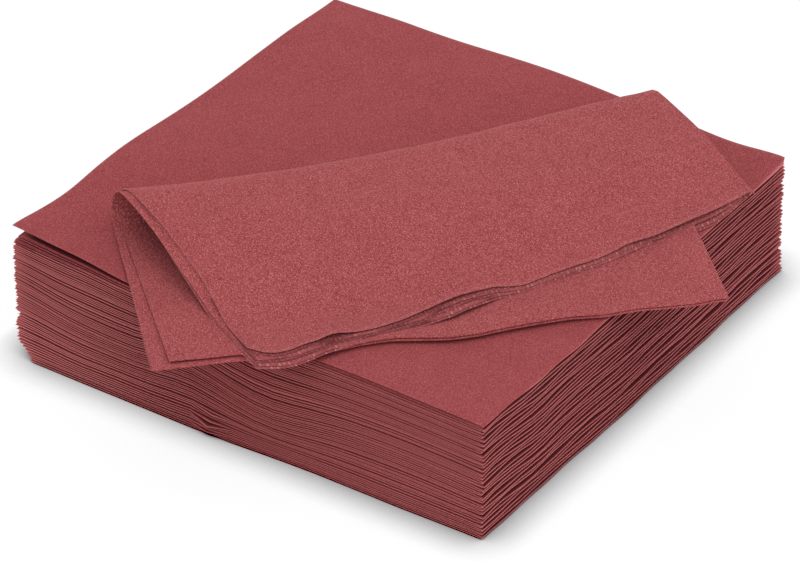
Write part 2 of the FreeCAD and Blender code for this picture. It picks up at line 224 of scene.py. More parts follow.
def quarterFoldTree(turnOver):
    # folds a flat sheet once at the front and once at the right, with edges that wander
    tree = bpy.data.node_groups.new("quarterFold", "GeometryNodeTree")
    tree.is_modifier = True
    tree.interface.new_socket("Geometry", in_out="INPUT", socket_type="NodeSocketGeometry")
    for name in ("side", "layer", "firstRadius", "secondRadius", "rawEdge", "wander", "wanderScale",
                 "seed"):
        tree.interface.new_socket(name, in_out="INPUT", socket_type="NodeSocketFloat")
    tree.interface.new_socket("paper", in_out="INPUT", socket_type="NodeSocketMaterial")
    tree.interface.new_socket("Geometry", in_out="OUTPUT", socket_type="NodeSocketGeometry")
    given = addNode(tree, "NodeGroupInput").outputs
    sheetPlace = addNode(tree, "GeometryNodeInputPosition").outputs[0]
    flat = addNode(tree, "ShaderNodeSeparateXYZ", links={0: sheetPlace}).outputs
    first = addNode(tree, "GeometryNodeGroup", {"node_tree": turnOver}, {
        "across": flat["Y"], "radius": given["firstRadius"], "offset": 0.0}).outputs
    second = addNode(tree, "GeometryNodeGroup", {"node_tree": turnOver}, {
        "across": flat["X"], "radius": given["secondRadius"], "offset": first["rise"]}).outputs
    value = {name: given[name] for name in ("side", "layer", "firstRadius", "secondRadius")}
    value.update(reach=first["reach"], over=second["reach"], rise=second["rise"], two=2.0)
    # each row names a result, its operation and the values it works on
    for name, operation, *used in (
            ("half", "DIVIDE", "side", "two"),
            ("front", "DIVIDE", "layer", "two"),
            ("front", "ADD", "front", "firstRadius"),
            ("right", "ADD", "front", "secondRadius"),
            ("y", "SUBTRACT", "front", "half"),
            ("y", "ADD", "y", "reach"),
            ("x", "SUBTRACT", "half", "right"),
            ("x", "SUBTRACT", "x", "over"),
            ("z", "ADD", "rise", "right")):
        value[name] = addNode(tree, "ShaderNodeMath", {"operation": operation}, {
            slot: value[key] for slot, key in enumerate(used)}).outputs[0]
    folded = addNode(tree, "ShaderNodeCombineXYZ", links={
        "X": value["x"], "Y": value["y"], "Z": value["z"]}).outputs[0]
    # each layer's raw edges stop at their own place: a chance vector for each quarter of the
    # sheet, times the fourth power of how far out a point lies, so only the raw edges move
    leaf = addNode(tree, "ShaderNodeVectorMath", {"operation": "SIGN"}, {0: sheetPlace}).outputs[0]
    chance = addNode(tree, "ShaderNodeTexWhiteNoise", {"noise_dimensions": "4D"}, {
        "Vector": leaf, "W": given["seed"]}).outputs["Color"]
    drift = addNode(tree, "ShaderNodeTexNoise", {"noise_dimensions": "4D"}, {
        "Vector": folded, "W": given["seed"], "Scale": given["wanderScale"],
        "Detail": 2.0}).outputs["Color"]
    outward = addNode(tree, "ShaderNodeVectorMath", {"operation": "SCALE"}, {
        0: sheetPlace, "Scale": outwardScale}).outputs[0]
    value = {"chance": chance, "drift": drift, "outward": outward, "folded": folded,
             "middle": (0.5, 0.5, 0.5), "level": (1.0, 1.0, 0.0),
             "rawEdge": given["rawEdge"], "wander": given["wander"]}
    # and the whole napkin's outline drifts a little along its length
    for name, operation, *used in (
            ("chance", "SUBTRACT", "chance", "middle"),
            ("outward", "MULTIPLY", "outward", "outward"),
            ("outward", "MULTIPLY", "outward", "outward"),
            ("raw", "MULTIPLY", "outward", "chance"),
            ("raw", "SCALE", "raw", "rawEdge"),
            ("drift", "SUBTRACT", "drift", "middle"),
            ("drift", "MULTIPLY", "drift", "level"),
            ("drift", "SCALE", "drift", "wander"),
            ("folded", "ADD", "folded", "raw"),
            ("folded", "ADD", "folded", "drift")):
        second = "Scale" if operation == "SCALE" else 1
        value[name] = addNode(tree, "ShaderNodeVectorMath", {"operation": operation}, {
            0: value[used[0]], second: value[used[1]]}).outputs[0]
    paper = addNode(tree, "GeometryNodeSetPosition", links={
        "Geometry": given["Geometry"], "Position": value["folded"]}).outputs[0]
    paper = addNode(tree, "GeometryNodeRealizeInstances", links={"Geometry": paper}).outputs[0]
    paper = addNode(tree, "GeometryNodeSetMaterial", links={
        "Geometry": paper, "Material": given["paper"]}).outputs[0]
    addNode(tree, "NodeGroupOutput", links={"Geometry": paper})
    return tree


quarterFold = quarterFoldTree(turnOverGroup())


gridLook = {
    "noseSteps": 4,       # rows round a fold
    "crowded": 0.55,      # how far the other rows crowd towards the fold and the raw edge
    "rawRow": 0.35,       # mm, one more row this far in from the raw edge
    "foldRow": 0.8,       # mm, and one this far past the fold
}


def spacedOut(half, foldReach, steps):
    # distances from the fold line, close together at the fold and at the raw edge
    look = gridLook
    nose = [foldReach * i / look["noseSteps"] for i in range(look["noseSteps"])]
    along = np.linspace(0, 1, steps)
    along = (1 - look["crowded"]) * along + look["crowded"] * smooth(along)
    along = np.append(along, 1 - look["rawRow"] * mm / half)
    outward = nose + sorted(foldReach + np.append((half - foldReach) * along, look["foldRow"] * mm))
    return np.array([-d for d in outward[:0:-1]] + outward)


def flatSheet(name, half, foldReach, steps):
    # the sheet before folding, with the crossing fold lines in its middle
    across = spacedOut(half, foldReach[1], steps)
    along = spacedOut(half, foldReach[0], steps)
    count = len(across)
    grid = np.zeros((count, count, 3))
    grid[:, :, 0] = across[:, None]
    grid[:, :, 1] = along[None, :]
    corner = (np.arange(count - 1)[:, None] * count + np.arange(count - 1)[None, :]).ravel()
    faces = np.stack([corner, corner + count, corner + count + 1, corner + 1], 1)
    mesh = bpy.data.meshes.new(name)
    mesh.from_pydata(grid.reshape(-1, 3).tolist(), [], faces.tolist())
    flat = mesh.attributes.new("flat", "FLOAT_VECTOR", "POINT")
    flat.data.foreach_set("vector", grid.ravel())
    return mesh


def foldedNapkin(name, look, paper, seed, steps):
    # flat sheet, folded by the node tree, given its thickness and turned into a plain mesh
    layer = look["layer"] * mm
    firstRadius = (look["layer"] + look["pairGap"]) / 2 * mm
    secondRadius = look["layer"] * mm + (look["pairGap"] + look["leafGap"]) / 2 * mm
    half = look["side"] * mm
    reach = (firstRadius * math.pi / 2, secondRadius * math.pi / 2)
    piece = bpy.data.objects.new(name, flatSheet(name, half, reach, steps))
    bpy.context.scene.collection.objects.link(piece)
    fold = piece.modifiers.new("fold", "NODES")
    fold.node_group = quarterFold
    values = {
        "side": look["side"] * mm, "layer": layer, "firstRadius": firstRadius,
        "secondRadius": secondRadius, "rawEdge": look["rawEdge"] * mm, "wander": look["wander"] * mm,
        "wanderScale": 1 / (look["wanderLength"] * mm), "seed": float(seed), "paper": paper}
    for socket in quarterFold.interface.items_tree:
        if socket.name in values:
            fold[socket.identifier] = values[socket.name]
    ply = piece.modifiers.new("ply", "SOLIDIFY")
    ply.thickness = layer
    ply.offset = 0.0
    ply.use_even_offset = True
    evaluated = piece.evaluated_get(bpy.context.evaluated_depsgraph_get())
    mesh = bpy.data.meshes.new_from_object(evaluated)
    piece.modifiers.clear()
    piece.data = mesh
    mesh.name = name
    return piece


def pointsOf(mesh):
    count = len(mesh.vertices)
    place, flat = np.zeros(count * 3), np.zeros(count * 3)
    mesh.vertices.foreach_get("co", place)
    mesh.attributes["flat"].data.foreach_get("vector", flat)
    return place.reshape(-1, 3) / mm, flat.reshape(-1, 3) / mm


wearAndHighlightLook = {
    # the first fold, rubbed and with a painted highlight: how wide its light line is, how light at the
    # right, and how much more to the left
    "firstWidth": 0.25,
    "first": 0.55,
    "firstLeft": (0.35, 20, 50),
    # the second fold: the same, and how much more near the front and how fast that fades
    "secondWidth": 0.2,
    "second": 0.85,
    "secondFront": (0.2, -82, 30),
    "top": (0.9, -0.9, 0.4),       # how much less at the pile's top
    "torn": (1, -0.4, 0.35),       # where the torn fibres begin, from the raw edge
}


def foldRubAndHighlight(place, flat):
    # how much lighter the pressed folds are, rubbed and with a painted highlight where their noses catch
    # the light: most at the front right corner and at the left
    look = wearAndHighlightLook
    more, start, fading = look["secondFront"]
    first = np.exp(-np.abs(flat[:, 1]) / look["firstWidth"])
    first *= look["first"] + swell(-place[:, 0], look["firstLeft"])
    second = np.exp(-np.abs(flat[:, 0]) / look["secondWidth"])
    second *= look["second"] + more * np.exp(-(place[:, 1] - start).clip(0) / fading)
    return np.maximum(first, second) * (1 - swell(place[:, 2] - pileHeight, look["top"]))


def finishPaper(piece, place, flat, border, half, inGap):
    # puts the settled points back, and adds the flat sheet's own map and what the look follows
    mesh = piece.data
    mesh.vertices.foreach_set("co", (place * mm).ravel())
    mesh.attributes.remove(mesh.attributes["flat"])
    values = {
        "rolledBorder": border,
        "tornEdge": swell(np.abs(flat[:, :2]).max(1) - half, wearAndHighlightLook["torn"]),
        "foldRubAndHighlight": foldRubAndHighlight(place, flat),
        "inGap": inGap,
    }
    for name, value in values.items():
        mesh.attributes.new(name, "FLOAT", "POINT").data.foreach_set("value", value)
    corner = np.zeros(len(mesh.loops), np.int32)
    mesh.loops.foreach_get("vertex_index", corner)
    flatMap = mesh.uv_layers.new(name="flatSheet")
    flatMap.data.foreach_set("uv", (flat[corner, :2] / (2 * half) + 0.5).ravel())
    mesh.polygons.foreach_set("use_smooth", [True] * len(mesh.polygons))
    mesh.set_sharp_from_angle(angle=math.radians(50))
    mesh.update()


pileLook = {
    "count": 30,
    "side": 165.0,           # mm, folded
    "layer": 0.17,           # mm, three plies, thinner than the solids' so that the gaps show
    "pairGap": 0.07,         # mm, inside the first fold
    "leafGap": 0.24,         # mm, inside the second fold
    "restGap": 0.255,        # mm, between two napkins
    "rawEdge": 1.15,         # mm, how unevenly the layers' raw edges stop
    "wander": 0.45,          # mm, how far an outline wanders along its length
    "wanderLength": 30.0,    # mm
    "scatter": 0.12,         # mm, how far a napkin lies off the pile's middle
    "turn": 0.06,            # degrees, how far it is turned
    # mm, napkins that lie in from the front and right
    "setBack": {3: 0.1, 7: 0.3, 12: 0.1, 19: 0.3, 23: 0.12, 27: 0.1},
    "uneven": 0.3,           # mm, how much deeper one pair of a napkin may lie at the front
    "deeperRun": 5,          # mm, how fast that fades
    # where a fold was pressed the napkin is narrower: by what share, from how far in, and how
    # fast that fades, both in mm
    "firstPressed": (0.4, 0.1, 0.9),
    "secondPressed": (0.52, 0.2, 1.3),
    "foldStays": 3,          # mm from the second fold, within which the first one isn't narrowed
    # how unevenly the right folds run, outwards and upwards: share of uneven, the lengths of two
    # waves in mm, and how they shift from napkin to napkin
    "outwardRun": (0.9, (4.7, 13), (2.9, 1.7)),
    "upwardRun": (0.45, (4.1, 17), (4.3, 0.9)),
    "rightRun": 4,           # mm, how fast that fades
    # the shade in the gaps begins this far from the first and the second fold, and it fades
    # towards the raw edges, and towards the right where pairs lie closer together
    "firstShade": (1, 0.05, 0.2),
    "secondShade": (1, 0.12, 0.3),
    "rawShade": (1, 0.5, 4),
    "closer": (0.55, -45, 60),
    "steps": 30,             # grid steps from a fold to a raw edge
    "topSteps": 62,
    "seed": 11,
    # How the pile has settled, in mm from its middle. A swell is its height, where it starts
    # and over what run it grows. A wave is its height, its middle and its width. Left and
    # front swells are measured to the left and to the front.
    "settled": {
        # air that the raw left and rear edges and the front hold, at the top of the pile
        "leftAir": (3.7, 12, 68),
        "leftAirLost": (0.42, -35, 60),       # share of it, towards the rear
        "rearAir": 2.0,
        "rearAirMore": (0.9, -5, 26),
        "rearAirLostLeft": (0.7, 20, 50),
        "rearAirLostRight": (0.8, 10, 50),
        "rearAirGrows": (1, 8, 72),
        "frontAir": 1.35,
        "frontAirLost": (0.75, 30, 50),
        "frontAirGrows": (1, 40, 40),
        "sunkRight": (1.7, 40, 40),           # and how far the rear right corner is sunk
        "sunkRear": (1, 20, 55),
        "sunkRearLeft": (1.3, 135, 30),
        # the lowest napkins bulge out at the front, more at the left, and at the right side
        "bulge": 0.5,
        "bulgeLeft": (1.7, -30, 45),
        "bulgeFades": (1, 0, 11),             # with height
        "bulgeFront": (1, 50, 32),
        "bulgeEnds": (1, -80, 30),
        "sideBulge": (0.8, 50, 32),
        "sideBulgeFades": (1, 0, 16),
        "sideBulgeEnds": (1, -60, 50),
        # and they are crumpled in one place
        "crumple": (1, -12.5, 3.6),
        "crumpleHeight": (1, 3.4, 3.6),
        "crumpleFront": (1, 66, 14),
        "crumpleOut": (0.6, 1.4, 2.4, 0.7),   # evenly, in turns, and how fast these follow z and x
        "crumpleTwist": 0.85,
        "crumpleFoot": 3,                     # over which height the twist grows
        # the pile's left corner is rubbed round, at the top and at the bottom, by share of height
        "rubbedTop": (1, 0.86, 0.14),
        "rubbedTopDepth": 4.0,
        "rubbedBottom": (1, 0, 0.2),
        "rubbedBottomDepth": 6.5,
        "rubbedLeft": (1, 55, 28),
        "rubbedFront": (1, 20, 60),
        # the seam between the pile and the table
        "seamLift": 0.4,
        "seamFades": (1, 0, 2.6),
        "seamDepth": 1.6,
    },
    # slow waves of the folded front and right edges, and small ripples on them
    "frontEdges": {
        "grows": (1, 8, 72),
        "waves": ((-3.5, 7, 19), (1.9, -18, 14), (-1.3, -51, 18), (2.4, -88, 16), (1.0, 60, 26)),
        "deepest": 0.42,                      # at this share of the height, and shallower above
        "shallower": (0.8, 0.45, 0.5),
        "ripple": 0.30,
        "rippleAlong": (6.1, 14.7),           # how far two crossing waves run along and up a turn
        "rippleUp": (5.3, -8.1),
        "rippleShift": (1.0, 0),
        "rippleFoot": 0.15,                   # share of the height over which ripples grow
        "rippleLeft": (1, -20, 60),           # only at the left
    },
    "rightEdges": {
        "grows": (1, 20, 60),
        "waves": ((-0.75, -54, 9), (-0.7, -6, 12), (-0.4, 34, 16), (0.5, -76, 9), (0.5, 70, 18)),
        "deepest": 0.3,
        "shallower": (0.6, 0.7, 0.3),
        "ripple": 0.16,
        "rippleAlong": (7.3, 17.0),
        "rippleUp": (4.1, -6.7),
        "rippleShift": (0, 2.0),
        "rippleFoot": 0.15,
        "rippleLeft": (1, -200, 60),          # everywhere
    },
    # the uppermost leaf, in the same terms
    "topLeaf": {
        "rise": 2.1,                          # how far it stands up along its raw left edge
        "riseLeft": (1, 44, 38),
        "riseRear": 0.18,                     # share of it that is left at the rear
        "riseFront": (1, -10, 60),
        "rearRight": (1, 138, 26),
        "rearRightHeight": 1.9,
        "rear": (0.5, 5, 25),
        "rearGrows": (1, 50, 32),
        # it stands up in front of the loose napkin's left edge: how far, by the distance from it
        "besideNormal": (-0.690, -0.724),
        "besideFrom": (-9.5, -112.6),
        "besidePlaces": (-6, 0, 28, 60),
        "besideHeights": (0, 0.6, 2.5, 2.5),
        "besideFront": (1, 30, 30),
        "point": (1, 130, 34),                # its front left corner points outwards
        "pointOut": (3.0, 0.8),
        "turned": 0.3,                        # mm round the first fold that belong to it
    },
}
pitch = 4 * pileLook["layer"] + 2 * pileLook["pairGap"] + pileLook["leafGap"] + pileLook["restGap"]
pileHeight = pitch * pileLook["count"]


def leanOut(x, y, share):
    # the raw edges at the left and rear hold more air than the folded ones
    look = pileLook["settled"]
    left = swell(-x, look["leftAir"]) * (1 - swell(y, look["leftAirLost"]))
    rear = look["rearAir"] + wave(x, look["rearAirMore"])
    rear = rear - swell(-x, look["rearAirLostLeft"]) - swell(x, look["rearAirLostRight"])
    rear = rear * swell(y, look["rearAirGrows"])
    front = (look["frontAir"] - swell(x, look["frontAirLost"])) * swell(-y, look["frontAirGrows"])
    sunk = swell(x, look["sunkRight"]) * swell(y, look["sunkRear"]) + swell(y - x, look["sunkRearLeft"])
    return (np.sqrt(left ** 2 + rear ** 2 + front ** 2) - sunk) * share


def leafRise(x, y):
    # how far the pile's uppermost leaf stands up along its raw left edge
    look = pileLook["topLeaf"]
    along = look["riseRear"] + (1 - look["riseRear"]) * swell(-y, look["riseFront"])
    return look["rise"] * swell(-x, look["riseLeft"]) ** 1.2 * along


def edgeWaves(look, along, outward, z):
    # how the folded edges on one side of the pile rise and fall
    share = z / pileHeight
    depth = smooth(share / look["deepest"]) * (1 - swell(share, look["shallower"]))
    slow = sum(wave(along, shape) for shape in look["waves"])
    small = look["ripple"] * swell(-along, look["rippleLeft"])
    for length, climb, shift in zip(look["rippleAlong"], look["rippleUp"], look["rippleShift"]):
        small = small * np.sin(along / length + z / climb + shift)
    return swell(outward, look["grows"]) * (depth * slow + small * smooth(share / look["rippleFoot"]))


def settle(place):
    # one deformation for the whole pile, so neighbours follow each other
    look = pileLook["settled"]
    x, y, z = place.T.copy()
    share = z / pileHeight
    lift = leanOut(x, y, share) + edgeWaves(pileLook["frontEdges"], x, -y, z)
    lift = lift + edgeWaves(pileLook["rightEdges"], y, x, z)
    bulge = (look["bulge"] + swell(-x, look["bulgeLeft"])) * (1 - swell(z, look["bulgeFades"]))
    bulge = bulge * swell(-y, look["bulgeFront"]) * swell(-x, look["bulgeEnds"])
    sideBulge = swell(x, look["sideBulge"]) * (1 - swell(z, look["sideBulgeFades"]))
    sideBulge = sideBulge * swell(y, look["sideBulgeEnds"])
    crumple = wave(x, look["crumple"]) * wave(z, look["crumpleHeight"]) * swell(-y, look["crumpleFront"])
    evenly, inTurns, byHeight, byPlace = look["crumpleOut"]
    rubbed = look["rubbedTopDepth"] * swell(share, look["rubbedTop"]) ** 2
    rubbed = rubbed + look["rubbedBottomDepth"] * (1 - swell(share, look["rubbedBottom"])) ** 1.5
    newX = x + sideBulge + rubbed * swell(-x, look["rubbedLeft"]) * swell(-y, look["rubbedFront"])
    newY = y - bulge - crumple * (evenly + inTurns * np.sin(byHeight * z + byPlace * x))
    fromEdge = (np.minimum(y, -x) + pileLook["side"] / 2).clip(0)
    seam = look["seamLift"] * (1 - swell(z, look["seamFades"])) * np.exp(-fromEdge / look["seamDepth"])
    twist = look["crumpleTwist"] * (x - look["crumple"][1]) * crumple * smooth(z / look["crumpleFoot"])
    return np.stack([newX, newY, z + lift + seam - twist], 1)


def liftTopLeaf(place, flat, before):
    # the uppermost leaf stands off the pile along its raw left edge and curls at two corners
    look = pileLook["topLeaf"]
    upper = flat[:, 0] > 0
    x, y = before[:, 0], before[:, 1]
    rearRight = look["rearRightHeight"] * swell(x + y, look["rearRight"]) ** 1.5
    rear = wave(x, look["rear"]) * swell(y, look["rearGrows"])
    beside = (before[:, :2] - look["besideFrom"]) @ look["besideNormal"]
    corner = np.interp(beside, look["besidePlaces"], look["besideHeights"])
    corner = corner * swell(-y, look["besideFront"])
    place[:, 2] += np.where(upper, np.maximum(leafRise(x, y), corner) + rearRight + rear, 0)
    point = swell(-x - y, look["point"]) ** 2
    place[:, :2] -= np.where(upper, point, 0)[:, None] * look["pointOut"]
    return place


def scattered(place, look, number):
    # each napkin lies a little off the pile's middle and a little turned, by sines of its number
    angle = math.radians(look["turn"]) * math.sin(5.3 * number + 2.0)
    x = place[:, 0] * math.cos(angle) - place[:, 1] * math.sin(angle)
    y = place[:, 0] * math.sin(angle) + place[:, 1] * math.cos(angle)
    inward = look["setBack"].get(number, 0)
    place[:, 0] = x + look["scatter"] * math.sin(2.4 * number) - inward
    place[:, 1] = y + look["scatter"] * math.sin(3.9 * number + 1.0) + inward
    return place


def pressed(place, flat, look, number):
    # one pair of each napkin lies a little deeper than the other at the front
    side = look["side"]
    deeper = look["uneven"] * (0.5 + 0.5 * math.sin(7.7 * number)) * (1 if number % 2 else -1)
    atFront = np.exp(-(place[:, 1] + side / 2).clip(0) / look["deeperRun"])
    place[:, 1] += atFront * np.clip(np.where(flat[:, 0] > 0, deeper, -deeper), 0, 1)
    # pressed folds are narrower, which leaves a groove between pairs at the front and between
    # napkins at the right
    pair = 2 * look["layer"] + look["pairGap"]
    pairMiddle = np.where(flat[:, 0] < 0, pair / 2, pair * 1.5 + look["leafGap"])
    share, start, run = look["firstPressed"]
    narrow = share * np.exp(-((place[:, 1] + side / 2 - start) / run).clip(0))
    narrow = narrow * np.clip(np.abs(flat[:, 0]) / look["foldStays"], 0, 1)
    place[:, 2] -= (place[:, 2] - pairMiddle) * narrow
    share, start, run = look["secondPressed"]
    narrow = share * np.exp(-((side / 2 - place[:, 0] - start) / run).clip(0))
    place[:, 2] -= (place[:, 2] - pair - look["leafGap"] / 2) * narrow
    # and each right fold runs a little unevenly
    near = np.exp(-(side / 2 - place[:, 0]).clip(0) / look["rightRun"]) * look["uneven"]
    along = place[:, 1].copy()
    for axis, key in ((0, "outwardRun"), (2, "upwardRun")):
        share, lengths, shifts = look[key]
        waves = [np.sin(along / length + shift * number) for length, shift in zip(lengths, shifts)]
        place[:, axis] += near * share * waves[0] * waves[1]
    return place


def makePile():
    look = pileLook
    pieces = []
    for number in range(1, look["count"] + 1):
        top = number == look["count"]
        piece = foldedNapkin("tissueNapkin%02d" % number, look, freshTissue, look["seed"] + 3.7 * number,
                             look["topSteps"] if top else look["steps"])
        place, flat = pointsOf(piece.data)
        place = pressed(scattered(place, look, number), flat, look, number)
        place[:, 2] += pitch * (number - 1)
        settled = settle(place)
        fromFirst = swell(np.abs(flat[:, 1]), look["firstShade"])
        fromSecond = swell(np.abs(flat[:, 0]), look["secondShade"])
        closer = swell(place[:, 0], look["closer"]) * (fromFirst < fromSecond)
        inGap = np.minimum(fromFirst, fromSecond) * (1 - closer)
        inGap *= swell(look["side"] - np.abs(flat[:, :2]).max(1), look["rawShade"])
        if top:
            settled = liftTopLeaf(settled, flat, place)
            inGap[(flat[:, 0] > 0) & (flat[:, 1] > -look["topLeaf"]["turned"])] = 0
        finishPaper(piece, settled, flat, np.zeros(len(place)), look["side"], inGap)
        pieces.append(piece)
    return pieces


pile = makePile()
print("pile of", len(pile), "napkins folded and settled")


looseLook = {
    "side": 167.0,              # mm, folded
    "layer": 0.26,              # mm
    "pairGap": 0.20,            # mm, inside the first fold
    "leafGap": 0.20,            # mm, inside the second fold
    "rawEdge": 0.0,
    "wander": 0.5,              # mm
    "wanderLength": 45.0,       # mm
    "steps": 78,
    "seed": 4.2,
    "corner": (-9.5, -112.6),   # mm, front left corner of the lower half
    "foldTurn": 55.9,           # degrees from +X
    "foldSkew": 9.5,            # degrees
    "rest": 0.35,               # mm over the pile
    "spread": (1.008, 1.025),   # along the fold, of the lower and the upper half
    "shorter": (9.0, 2.1),      # mm, how much the waves shorten the upper half, left and right
    # the bend at its left end, at its right end, and what its middle has on top of both: where
    # it starts and its length, how many degrees it goes past half a turn and over what run,
    # and where and over what run it lies down again
    "bendStart": (64.3, 67.4, -9.7),
    "bendLength": (26.8, 16.5, 7.1),
    "overTurn": (16.7, 14.8, 2.7),
    "overStart": (84.9, 96.2, 8.0),
    "overLength": (22.5, 27.1, 0.6),
    "easeStart": (127.4, 126.5, 19.7),
    "easeLength": (13.3, 16.8, -15.0),
    # Swells and waves below run either along the front edges, in mm from the left, or by share
    # of the way from the lower front edge round to the upper one.
    # the raw left edges: the outermost layer lies in, and the inner ones show over the loop
    "outermostIn": (3.8, 0, 0.8),
    "outermostOut": (2.8, 0.76, 0.24),
    "secondIn": 0.4,
    "innerIn": ((5.0, 0.5), (5.2, 0.2)),
    "cornerIn": (1.8, 52),      # the lower inner pair at the front left corner, and how far along
    "cornerUp": (0.35, 60),
    # how far from the edges their own reach and rise are felt
    "upperFront": (1, 0.72, 0.28),
    "lowerFront": (1, 0, 0.3),
    "lowerCorner": (1, 0, 0.25),
    "lowerCornerUp": (1, 0, 0.2),
    "lowerEdgeUp": (1, 0, 0.16),
    "spreadGrows": (1, 0.2, 0.3),
    # ripples of the upper half's front edge: all layers rise once, under the outermost one
    # pockets open, and at the right end the inner layers sag
    "raised": (1.9, 66, 13),
    "raisedFront": (1, 0.84, 0.16),
    "pockets": ((1.0, 25, 5), (0.7, 66, 10), (0.7, 132, 20)),
    "pocketEven": 0.3,
    "pocketFront": (1, 0.9, 0.1),
    "sag": (1.3, 126, 16),
    "sagEnds": (1, 154, 12),
    "sagFront": (1, 0.82, 0.18),
    "sagShares": (0, 0.5, 0.9, 1),
    # the rolled dots, and the painted shade over their border, show along the front edges, and at the
    # left only down inside the loop
    "border": 10,               # mm
    "borderEdge": 1.5,          # mm
    "dotsLeft": 0.12,
    "dotsInLoop": (0.5, 0.43, 0.11),
    "dotsFront": (1, 0.5, 0.2),
    "dotsByLayer": (0.12, 0.8, 0.9, 1.0),
    # shade where one layer shows from under the next, at the front and at the left
    "frontShade": (0.75, 0.2, 0.45),
    "frontShadeRun": (1, 0.9, 0.05),
    "leftShade": (0.7, -0.25, 0.4),
    "leftShadeRun": (1, 0.5, 0.1),
}
# Along the loose napkin's front edges, from its left end, all in mm: the places, how much
# further than the folded square each raw layer reaches (outermost first), and how far the
# lower half's folded edge reaches out and how high it stands.
edgePlaces = (0, 3, 6, 10, 15, 20, 25, 30, 36, 44, 52, 60,
              68, 76, 84, 92, 100, 110, 120, 130, 140, 150, 158, 165)
frontReach = (
    (-0.9, 2.8, 4.2, 4.1, 2.7, 2.4, 1.8, 2.2, 2.2, 1.2, 0.3, -0.1,
     -0.7, -1.2, 0.9, 0.3, 0.3, 0.9, 0.1, 1.3, 0.6, 0.3, -0.3, -1.4),
    (3.4, 4.1, 4.8, 4.9, 4.0, 2.9, 1.9, 1.6, 1.7, 1.4, 1.3, -0.3,
     -1.1, -1.2, 0.2, -0.1, 0, 0, -0.8, -0.2, -0.4, -0.5, -1.3, -3.2),
    (4.2, 5.2, 6.2, 6.4, 5.2, 3.6, 2.9, 2.4, 1.6, 1.3, 1.5, 1.7,
     0.1, -1.4, -0.7, -1.1, -1.3, -0.8, -1.1, -1.6, -1.1, -0.8, -2.0, -5.1),
    (3.3, 4.3, 5.3, 5.5, 4.3, 2.7, 2.0, 1.5, 0.7, 0.4, 0.6, 0.8,
     -0.8, -2.3, -1.6, -2.0, -2.2, -1.7, -2.0, -2.5, -2.0, -1.7, -2.9, -6.0),
)
lowerReach = (0, 0.1, 0.2, 0.4, 0.6, 0.8, 1.5, 2.2, 3.0, 4.1, 3.6, 2.2,
              1.7, 2.9, 4.2, 4.0, 2.7, 1.7, 0.8, 1.5, 0.1, 0.3, 0.4, 0.4)
lowerRise = (-1.4, -1.4, -1.4, -1.3, -1.2, -1.0, -0.8, -0.6, -0.3, 0, 0, 0.1,
             0.2, 0.3, 0.4, 0.5, 0.5, 0.5, 0.3, 0.1, -0.2, -0.6, -0.8, -0.3)
bendGrid = {"path": (-30, 200, 700), "stations": 9, "rounds": 6}      # mm from, to, and how many


def runningSum(values, step):
    # the area under evenly spaced values, up to each of them
    return np.concatenate([[0], np.cumsum((values[1:] + values[:-1]) / 2 * step)])


class LooseBend:
    # the shape that the whole napkin is bent to: a table of sections square to the soft fold
    def __init__(self, look):
        self.skew = math.radians(look["foldSkew"])
        turn = math.radians(look["foldTurn"])
        self.along = np.array([math.cos(turn), math.sin(turn)])
        self.back = np.array([-math.sin(turn), math.cos(turn)])
        self.start = np.array(look["corner"])
        self.width = look["side"] * (math.sin(self.skew) + math.cos(self.skew))
        self.path = np.linspace(*bendGrid["path"])
        self.stations = bendGrid["stations"]
        self.step = self.path[1] - self.path[0]
        tables = []
        for share in np.linspace(0, 1, self.stations):
            start, length, over, overStart, overLength, easeStart, easeLength = (
                look[key][0] * (1 - share) + look[key][1] * share + look[key][2] * 4 * share * (1 - share)
                for key in ("bendStart", "bendLength", "overTurn", "overStart", "overLength",
                            "easeStart", "easeLength"))
            over = math.radians(over)
            heading = (swell(self.path, (math.pi, start, length))
                       + swell(self.path, (over, overStart, overLength))
                       - swell(self.path, (over, easeStart, easeLength)))
            back = runningSum(np.cos(heading), self.step)
            up = runningSum(np.sin(heading), self.step)
            back, up = (line - np.interp(0, self.path, line) for line in (back, up))
            tables.append((back, up, heading))
        self.backs, self.ups, self.headings = (np.array(table) for table in zip(*tables))

    def read(self, table, share, path):
        # a value between the stations and places of a table
        column = (path - self.path[0]) / self.step
        low = np.clip(column.astype(int), 0, len(self.path) - 2)
        row = np.clip(share, 0, 1) * (self.stations - 1)
        first = np.clip(row.astype(int), 0, self.stations - 2)
        across, down = column - low, row - first
        near = table[first, low] * (1 - across) + table[first, low + 1] * across
        far = table[first + 1, low] * (1 - across) + table[first + 1, low + 1] * across
        return near * (1 - down) + far * down

    def place(self, s, t, depth):
        path = s * math.cos(self.skew) - t * math.sin(self.skew)
        along = s * math.sin(self.skew) + t * math.cos(self.skew)
        share = along / self.width
        shifted = path.copy()
        for _ in range(bendGrid["rounds"]):      # inner layers take a shorter way round
            shifted = path + depth * self.read(self.headings, share, shifted)
        heading = self.read(self.headings, share, shifted)
        back = self.read(self.backs, share, shifted) - depth * np.sin(heading)
        up = self.read(self.ups, share, shifted) + depth * np.cos(heading)
        flatPlace = self.start + along[:, None] * self.along + back[:, None] * self.back
        return np.column_stack([flatPlace, up])


